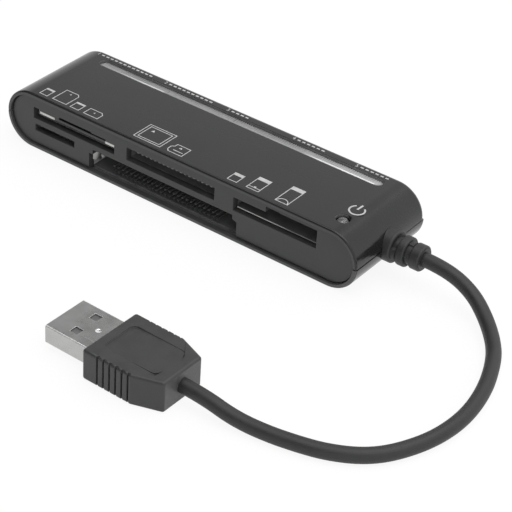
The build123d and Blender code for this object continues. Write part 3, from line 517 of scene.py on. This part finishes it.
# Its front edge is painted bright, fading along the plate: a painted glint.
plate_edge_painted_glint = make_finish(
    "plate_edge_painted_glint", dark=(0.42, 0.42, 0.413, 1), light=(0.52, 0.52, 0.511, 1), gloss=(0.30, 0.42),
    grain=0.3 * mm, patch=2 * mm, depth=0.002 * mm, rubbed=0.1,
)
plate_glint_tones = (
    (plate_low.x, 1.0), (plate_low.x + plate_glint_full_share * plate_length, 0.9),
    (plate_low.x + plate_glint_fade_share * plate_length, 0.3), (plate_high.x, 0.25),
)
shade_along(plate_edge_painted_glint, plate_glint_tones)
plate = dress("stick_socket_plate", plate_painted_light)
refinish(plate, plate_edge_painted_glint, lambda face: face.normal.y < front_facing)

# Front panel: a satin black moulding with the mouths of the card slots.
# It is held in a groove round the front of both covers, a little behind their lips.
panel_edge = 0.06 * mm
panel_satin = make_finish(
    "panel_satin", dark=(0.024, 0.024, 0.0245, 1), light=(0.029, 0.029, 0.0296, 1), gloss=(0.30, 0.42),
    grain=0.11 * mm, patch=9 * mm, depth=0.0035 * mm, rubbed=0.06, fixed={"IOR": 1.5},
)
# The walls of the slot mouths are painted lighter than the panel face: painted light in the mouths.
mouth_painted_light = make_finish(
    "mouth_painted_light", dark=(0.045, 0.045, 0.046, 1), light=(0.060, 0.060, 0.0612, 1), gloss=(0.5, 0.65),
    grain=0.11 * mm, patch=3 * mm, depth=0.004 * mm,
)
panel_face_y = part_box("front_panel")[0].y
panel = dress("front_panel", panel_satin, panel_edge)
refinish(panel, mouth_painted_light, lambda face: face.center.y > panel_face_y + 2 * panel_edge)
dress("standard_socket_nose", panel_satin, panel_edge)

# Light bar: a milky light guide, pushed up into its slot in the top cover from inside.
# Fine ribs cross it in four fields with thin walls between them, and a smooth bead closes its front.
bar_edge = 0.12 * mm
bar_low, bar_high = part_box("light_bar")
bar_middle = (bar_low + bar_high) / 2
crown_z = bar_high.z
top_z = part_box("top_cover")[1].z
crown_length = 82.6 * mm
crown_radius = 1.5 * mm
rib_pitch = 0.6 * mm
rib_height = 0.2 * mm
rib_root = 0.05 * mm
bead_width = 0.55 * mm
bead_below_top = 0.03 * mm
field_walls = (-20.3 * mm, -0.6 * mm, 20.2 * mm)
field_wall = 0.3 * mm
# Stops of painted light and shade along the bar: darker to the left, lighter to the right.
bar_painted_light_tones = (
    (-41 * mm, 0.60), (-20.3 * mm, 0.58), (-20.2 * mm, 0.66), (20.1 * mm, 0.70), (20.2 * mm, 0.80),
    (30 * mm, 1.0),
)
# Stops of the painted highlight along the bar's front bead.
bead_highlight_tones = (
    (-41 * mm, 0.32), (-34 * mm, 0.42), (-27 * mm, 0.72), (-20.6 * mm, 0.66), (-20 * mm, 0.32),
    (20 * mm, 0.38), (25 * mm, 0.9), (32 * mm, 1.0), (41 * mm, 0.85),
)
bar_milk = make_finish(
    "bar_milk", dark=(0.36, 0.36, 0.365, 1), light=(0.46, 0.46, 0.465, 1), gloss=(0.22, 0.34),
    grain=0.25 * mm, patch=6 * mm, depth=0.002 * mm, rubbed=0.1, fixed={"IOR": 1.5},
)
# The bead is painted near-white: a painted highlight along the front of the bar.
bead_painted_highlight = make_finish(
    "bead_painted_highlight", dark=(0.80, 0.80, 0.81, 1), light=(0.88, 0.88, 0.89, 1), gloss=(0.12, 0.2),
    grain=0.25 * mm, patch=6 * mm, depth=0.001 * mm, rubbed=0.1, fixed={"IOR": 1.5},
)


def add_block(bm, low, high):
    """A block between two corners."""
    size = Vector(high) - Vector(low)
    middle = (Vector(high) + Vector(low)) / 2
    shape = Matrix.Translation(middle) @ Matrix.Diagonal((*size, 1.0))
    bmesh.ops.create_cube(bm, size=1.0, matrix=shape)


shade_along(bar_milk, bar_painted_light_tones)
shade_along(bead_painted_highlight, bead_highlight_tones)
dress("light_bar", bar_milk, bar_edge)

rib_bm = bmesh.new()
straight_half = crown_length / 2 - crown_radius
rib_count = int(crown_length / rib_pitch) - 1
rows = []
for i in range(2 * rib_count + 1):
    along = (i / 2 - rib_count / 2) * rib_pitch
    into_end = max(abs(along) - straight_half, 0.0)
    half_width = math.sqrt(crown_radius ** 2 - into_end ** 2)
    z = crown_z + (rib_height if i % 2 else 0.0)
    front = max(bar_middle.y - half_width, bar_middle.y - crown_radius + bead_width)
    rows.append([
        rib_bm.verts.new((bar_middle.x + along, y, z)) for y in (front, bar_middle.y + half_width - rib_root)
    ])
for one, other in zip(rows, rows[1:]):
    rib_bm.faces.new((one[0], other[0], other[1], one[1]))
skirt = bmesh.ops.extrude_face_region(rib_bm, geom=rib_bm.faces[:], use_keep_orig=True)
for element in skirt["geom"]:
    if isinstance(element, bmesh.types.BMVert):
        element.co.z = crown_z - rib_root
bmesh.ops.recalc_face_normals(rib_bm, faces=rib_bm.faces)
for wall_x in field_walls:
    add_block(
        rib_bm,
        (wall_x - field_wall / 2, bar_middle.y - crown_radius + bead_width, crown_z - rib_root),
        (wall_x + field_wall / 2, bar_middle.y + crown_radius - rib_root, crown_z + rib_height),
    )
add_piece("light_bar_ribs", rib_bm, bar_milk)

bead_bm = bmesh.new()
add_block(
    bead_bm,
    (bar_middle.x - straight_half, bar_middle.y - crown_radius, crown_z - rib_root),
    (bar_middle.x + straight_half, bar_middle.y - crown_radius + bead_width, top_z - bead_below_top),
)
round_edges(bead_bm, bar_edge)
add_piece("light_bar_bead", bead_bm, bead_painted_highlight)

# Power lamp: a round resin lens in a hole of the top cover, on two leads from the board.
# A bright cup with the small die and two silvered posts stand inside it and show through the resin;
# the posts are painted near-white, as painted glints in the lens.
lamp_low, lamp_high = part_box("power_led")
lamp_middle = (lamp_low + lamp_high) / 2
cup_below_top = 2.6 * mm
cup_floor_z = lamp_high.z - cup_below_top
cup_depth = 0.7 * mm
cup_skirt = 0.8 * mm
cup_floor_radius = 0.45 * mm
cup_rim_inner = 0.95 * mm
cup_rim_outer = 1.05 * mm
cup_profile = (
    (0.0, 0.0), (cup_floor_radius, 0.0), (cup_rim_inner, cup_depth), (cup_rim_outer, cup_depth),
    (cup_rim_outer, -cup_skirt),
)
cup_steps = 24
post_size = 0.3 * mm
post_pitch = 0.75 * mm
post_forward = 0.78 * mm
post_below_top = 0.42 * mm
die_size = 0.36 * mm
lens_resin = make_finish(
    "lens_resin", dark=(0.58, 0.585, 0.585, 1), light=(0.66, 0.665, 0.665, 1), gloss=(0.05, 0.12),
    grain=0.4 * mm, patch=2 * mm, depth=0.001 * mm, fixed={"IOR": 1.5, "Transmission Weight": 0.84},
)
dress("power_led", lens_resin)
cup_bm = bmesh.new()
cup_corners = [
    cup_bm.verts.new((lamp_middle.x + radius, lamp_middle.y, cup_floor_z + rise))
    for radius, rise in cup_profile
]
cup_line = [cup_bm.edges.new(pair) for pair in zip(cup_corners, cup_corners[1:])]
bmesh.ops.spin(
    cup_bm, geom=cup_corners + cup_line, cent=lamp_middle, axis=(0, 0, 1), angle=math.tau, steps=cup_steps,
    use_merge=True,
)
bmesh.ops.remove_doubles(cup_bm, verts=cup_bm.verts, dist=weld_distance)
bmesh.ops.recalc_face_normals(cup_bm, faces=cup_bm.faces)
add_block(
    cup_bm,
    (lamp_middle.x - die_size / 2, lamp_middle.y - die_size / 2, cup_floor_z),
    (lamp_middle.x + die_size / 2, lamp_middle.y + die_size / 2, cup_floor_z + die_size / 2),
)
add_piece("power_lamp_cup", cup_bm, tinned_metal)
# The posts' near-white colour is a painted glint.
post_painted_glint = make_finish(
    "post_painted_glint", dark=(0.86, 0.86, 0.85, 1), light=(0.94, 0.94, 0.93, 1), gloss=(0.3, 0.45),
    grain=0.1 * mm, patch=0.5 * mm, depth=0.001 * mm, fixed={"Metallic": 0.3},
)
post_bm = bmesh.new()
for side in (-1, 1):
    post_x = lamp_middle.x + side * post_pitch / 2
    add_block(
        post_bm,
        (post_x - post_size / 2, lamp_middle.y - post_forward - post_size / 2, cup_floor_z),
        (post_x + post_size / 2, lamp_middle.y - post_forward + post_size / 2, lamp_high.z - post_below_top),
    )
add_piece("power_lamp_posts", post_bm, post_painted_glint)

# Top cover: the upper half of the casing, moulded in the same polished black plastic.
# It has the long slot of the light bar and the hole of the power lamp, and clips to the bottom cover.
lamp_hole_radius = 1.75 * mm
seam_room = 0.1 * mm
# The top cover's lip is painted darker than the bottom cover's: painted shade under the top's front edge.
top_lip_flat = 0.9
top_lip_painted_darker = make_finish(
    "top_lip_painted_darker", dark=(0.038, 0.038, 0.0388, 1), light=(0.048, 0.048, 0.049, 1), gloss=(0.34, 0.46),
    grain=0.11 * mm, patch=6 * mm, depth=0.003 * mm,
)
hole_sides = [lamp_middle.y + side * (lamp_hole_radius + seam_room) for side in (-1, 1)]
dress_cover("top_cover", top_lip_painted_darker, top_lip_flat, hole_sides)

# Print on the top cover: white ink, screen printed, with the outline of the card that fits each slot,
# a power sign beside the lamp and plain slot numbers along the back.
ink_white = make_finish(
    "ink_white", dark=(0.44, 0.44, 0.44, 1), light=(0.56, 0.56, 0.56, 1), gloss=(0.45, 0.6),
    grain=0.06 * mm, patch=1.2 * mm, depth=0.003 * mm,
)
ink_thickness = 0.02 * mm
ink_lift = 0.8 * ink_thickness
ink_stroke = 0.2
print_bm = bmesh.new()


def print_patch(outline):
    """A printed patch from its corner points, in millimetres on the top face."""
    return print_bm.faces.new([print_bm.verts.new((x * mm, y * mm, top_z)) for x, y in outline])


def print_line(outline):
    """A printed line of one width along a closed outline."""
    inside = print_patch(outline)
    inside.normal_update()
    bmesh.ops.inset_individual(print_bm, faces=[inside], thickness=ink_stroke * mm, use_even_offset=True)
    bmesh.ops.delete(print_bm, geom=[inside], context="FACES_ONLY")


def print_bar(left, right, front, back):
    """A printed block between four sides."""
    print_patch([(left, front), (right, front), (right, back), (left, back)])


def card_outline(left, right, front, back, cut=0.0):
    """The outline of a card with its back right corner cut off."""
    corner = [(right, back - cut), (right - cut, back)] if cut else [(right, back)]
    return [(left, front), (right, front)] + corner + [(left, back)]


# Each barred card: its left, right, front and back, and the width of the bar across its back
barred_cards = (
    (-41.80, -39.35, -12.20, -9.10, 0.65),
    (-32.35, -29.65, -12.20, -9.30, 0.65),
    (14.00, 16.75, -12.30, -8.90, 1.00),
    (19.20, 22.65, -12.15, -6.75, 1.20),
    (27.10, 30.60, -12.10, -4.90, 1.30),
)
for left, right, front, back, bar in barred_cards:
    print_line(card_outline(left, right, front, back))
    print_bar(left + ink_stroke, right - ink_stroke, back - bar, back - ink_stroke)
card_cut = 0.75
arrow_half = 0.28
arrow_front, arrow_tip = 1.35, 0.85
cut_cards = ((-37.85, -33.45, -12.15, -6.75), (-28.20, -23.85, -12.25, -9.40))
for left, right, front, back in cut_cards:
    print_line(card_outline(left, right, front, back, card_cut))
    middle = (left + right) / 2
    print_patch([
        (middle - arrow_half, back - arrow_front), (middle + arrow_half, back - arrow_front),
        (middle, back - arrow_tip),
    ])
wide_card = (-13.20, -5.30, -12.10, -5.60)
wide_card_label = (-12.45, -6.05, -11.45, -6.25)
wide_card_arrow = ((-11.15, -8.0), (-10.25, -8.0), (-10.7, -7.2))
thin_card = (
    (-3.80, -11.2), (-3.10, -12.0), (0.90, -12.0), (0.90, -8.3), (-3.10, -8.3), (-3.10, -9.3), (-3.80, -9.8),
)
thin_card_arrow = ((-1.75, -9.6), (-0.85, -9.6), (-1.3, -8.9))
thin_card_bar = (-2.4, 0.3, -10.9, -10.68)
cross_line = (19.42, 22.43, -11.3, -11.1)
cross_line_tab = (20.6, 21.2, -11.1, -10.7)
print_line(card_outline(*wide_card))
print_line(card_outline(*wide_card_label))
print_patch(wide_card_arrow)
print_line(thin_card)
print_patch(thin_card_arrow)
for sides in (thin_card_bar, cross_line, cross_line_tab):
    print_bar(*sides)
arc_steps = 40


def print_arc(middle, inner, outer, start, sweep):
    """A printed arc between two radii, from a start angle off the back, turned to the left."""
    ends = [
        print_bm.verts.new(middle + Matrix.Rotation(start, 3, "Z") @ Vector((0, radius, 0)))
        for radius in (inner, outer)
    ]
    bmesh.ops.spin(
        print_bm, geom=ends + [print_bm.edges.new(ends)], cent=middle, axis=(0, 0, 1), angle=sweep,
        steps=arc_steps,
    )


notch_middle = Vector((28.85 * mm, -11.98 * mm, top_z))
notch_inner = 1.35 * mm
notch_outer = 1.57 * mm
print_arc(notch_middle, notch_inner, notch_outer, -math.pi / 2, math.pi)

numeral_height = 1.5
numeral_room = 1.35
legend_front, legend_back = 11.2, 12.1
dash_length = 0.85
dash_gap = 0.5
dash_half = 0.22
legends = ((-44.0, -26.0), (-23.0, -7.7), (-4.2, 3.2), (14.9, 25.7), (32.5, 43.0))


def print_numeral(numeral, left, front):
    """A printed numeral in the plain built-in typeface."""
    letter = bpy.data.curves.new("numeral", "FONT")
    letter.body = numeral
    letter.size = numeral_height * mm
    holder = bpy.data.objects.new("numeral", letter)
    flat = bpy.data.meshes.new_from_object(holder)
    flat.transform(Matrix.Translation((left * mm, front * mm, top_z)))
    print_bm.from_mesh(flat)
    bpy.data.meshes.remove(flat)
    bpy.data.objects.remove(holder)
    bpy.data.curves.remove(letter)


for number, (left, right) in enumerate(legends, start=1):
    print_numeral(str(number), left, legend_front)
    middle = (legend_front + legend_back) / 2
    dash_count = int((right - left - numeral_room) / (dash_length + dash_gap))
    for i in range(dash_count):
        dash_left = left + numeral_room + i * (dash_length + dash_gap)
        print_bar(dash_left, dash_left + dash_length, middle - dash_half, middle + dash_half)

power_middle = Vector((43.2 * mm, -3.5 * mm, top_z))
power_inner = 1.57 * mm
power_outer = 1.99 * mm
power_gap = math.radians(74)
print_arc(power_middle, power_inner, power_outer, power_gap / 2, math.tau - power_gap)
power_tick = ((42.85, -3.2), (43.3, -3.25), (43.42, -1.1), (42.97, -1.05))
print_patch(power_tick)
print_bm.normal_update()
bmesh.ops.solidify(print_bm, geom=print_bm.faces[:], thickness=ink_thickness)
bmesh.ops.recalc_face_normals(print_bm, faces=print_bm.faces)
bmesh.ops.translate(print_bm, verts=print_bm.verts, vec=(0, 0, ink_lift))
add_piece("top_print", print_bm, ink_white)

# Strain relief: a ringed boot of soft black rubber, moulded onto the end of the cable.
# It is held in the right end of both covers, and its rings let it bend with the cable.
boot_rubber = make_finish(
    "boot_rubber", dark=(0.016, 0.016, 0.0164, 1), light=(0.026, 0.026, 0.0266, 1), gloss=(0.44, 0.58),
    grain=0.1 * mm, patch=3 * mm, depth=0.006 * mm,
)
boot = dress("strain_relief", boot_rubber)

# Plug: a folded steel shell on an insulated tongue with four plated contacts.
# The grip is moulded over the back of the shell and the end of the cable.
plug_steel = make_finish(
    "plug_steel", dark=(0.43, 0.43, 0.425, 1), light=(0.51, 0.51, 0.505, 1), gloss=(0.24, 0.32),
    grain=0.4 * mm, patch=4 * mm, depth=0.0015 * mm, rubbed=0.14, fixed={"Metallic": 1.0},
)
# The black insulator is painted dark grey: painted light in the shell's windows.
plug_insulator = make_finish(
    "plug_insulator", dark=(0.10, 0.10, 0.10, 1), light=(0.14, 0.14, 0.14, 1), gloss=(0.4, 0.55),
    grain=0.12 * mm, patch=2 * mm, depth=0.004 * mm,
)
plug_grip = make_finish(
    "plug_grip", dark=(0.027, 0.027, 0.0275, 1), light=(0.036, 0.036, 0.0367, 1), gloss=(0.36, 0.48),
    grain=0.09 * mm, patch=4 * mm, depth=0.006 * mm,
)
# The shell's rolled edges are painted lighter, as a painted highlight, with fold_shade as a painted shade
# line below it.
rolled_edge_painted_highlight = make_finish(
    "rolled_edge_painted_highlight", dark=(0.74, 0.74, 0.735, 1), light=(0.82, 0.82, 0.815, 1), gloss=(0.5, 0.6),
    grain=0.4 * mm, patch=4 * mm, depth=0.001 * mm, fixed={"Metallic": 1.0},
)
fold_shade = make_finish(
    "fold_shade", dark=(0.56, 0.56, 0.555, 1), light=(0.64, 0.64, 0.635, 1), gloss=(0.42, 0.5),
    grain=0.4 * mm, patch=4 * mm, depth=0.001 * mm, fixed={"Metallic": 1.0},
)
# The dimple is painted near-white: a painted glint.
dimple_painted_glint = make_finish(
    "dimple_painted_glint", dark=(0.86, 0.86, 0.855, 1), light=(0.92, 0.92, 0.915, 1), gloss=(0.22, 0.30),
    grain=0.4 * mm, patch=4 * mm, depth=0.0005 * mm, fixed={"Metallic": 1.0},
)
shell_low, shell_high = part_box("plug_shell")
shell_edge = 0.05 * mm
grip_edge = 0.1 * mm
fold_low, fold_middle, fold_high = 0.1, 0.55, 0.97
rear_facing = 0.97
dimple_from_mouth = 9.4 * mm
dimple_place = Vector((shell_low.x + dimple_from_mouth, (shell_low.y + shell_high.y) / 2, shell_high.z))
dimple_radius = 0.78 * mm
dimple_steep, dimple_flat = 0.9, 0.9999


def is_dimple(face):
    """Whether a face of the plug's shell is in the small struck dimple on its top."""
    is_near = (face.center - dimple_place).length < dimple_radius
    return is_near and dimple_steep < face.normal.z < dimple_flat


shell = dress("plug_shell", plug_steel, shell_edge)
refinish(shell, fold_shade, lambda face: fold_low < abs(face.normal.z) < fold_middle)
refinish(shell, rolled_edge_painted_highlight, lambda face: fold_middle < abs(face.normal.z) < fold_high)
refinish(shell, dimple_painted_glint, is_dimple)
tongue = dress("plug_tongue", plug_insulator, shell_edge)
# The plug's contacts take the same painted shade.
paint(contact_nickel_painted_shade, "plug_contacts")
# The rear face of the grip has a coarser texture, and its lighter tone is painted light.
grip_end_painted_light = make_finish(
    "grip_end_painted_light", dark=(0.04, 0.04, 0.0408, 1), light=(0.09, 0.09, 0.0918, 1), gloss=(0.30, 0.55),
    grain=0.22 * mm, patch=0.6 * mm, depth=0.03 * mm,
)
grip = dress("plug_overmould", plug_grip, grip_edge)
refinish(grip, grip_end_painted_light, lambda face: face.normal.x > rear_facing)

# Cable: four wires in a round black jacket. It leaves the strain relief level, comes down to the
# table and goes round in one loose bend to the plug, 0.119 m in all.
cable_diameter = 3.4 * mm
cable_route = [
    (59.5, 0, 7.4), (65.35, 0, 7.4), (72.4, -0.8, 5.2), (78.1, -3.9, 2.8), (83.7, -9.7, 1.9),
    (86.95, -15.4, 1.72), (90.15, -24.1, 1.72), (91.65, -34.0, 1.72), (90.5, -43.6, 1.72),
    (86.9, -52.0, 1.72), (82.7, -57.1, 1.72), (76.8, -60.6, 1.72), (71.1, -62.4, 1.72), (64.0, -63.9, 1.72),
    (56.8, -64.8, 2.2), (49.494, -64.951, 3.8), (43.995, -64.855, 3.8),
]
cable_jacket = make_finish(
    "cable_jacket", dark=(0.016, 0.016, 0.0163, 1), light=(0.024, 0.024, 0.0245, 1), gloss=(0.46, 0.58),
    grain=0.12 * mm, patch=5 * mm, depth=0.005 * mm, rubbed=0.08,
)
cable_curve = bpy.data.curves.new("cable_line", "CURVE")
cable_curve.dimensions = "3D"
cable_curve.bevel_depth = cable_diameter / 2
cable_curve.bevel_resolution = 8
cable_curve.resolution_u = 10
cable_line = cable_curve.splines.new("NURBS")
cable_line.points.add(len(cable_route) - 1)
for point, place in zip(cable_line.points, cable_route):
    point.co = (*(value * mm for value in place), 1.0)
cable_line.order_u = 3
cable_line.use_endpoint_u = True
cable_curve.materials.append(cable_jacket)
cable = bpy.data.objects.new("cable_jacket", cable_curve)
bpy.context.scene.collection.objects.link(cable)
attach(cable, "root")
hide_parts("cable")
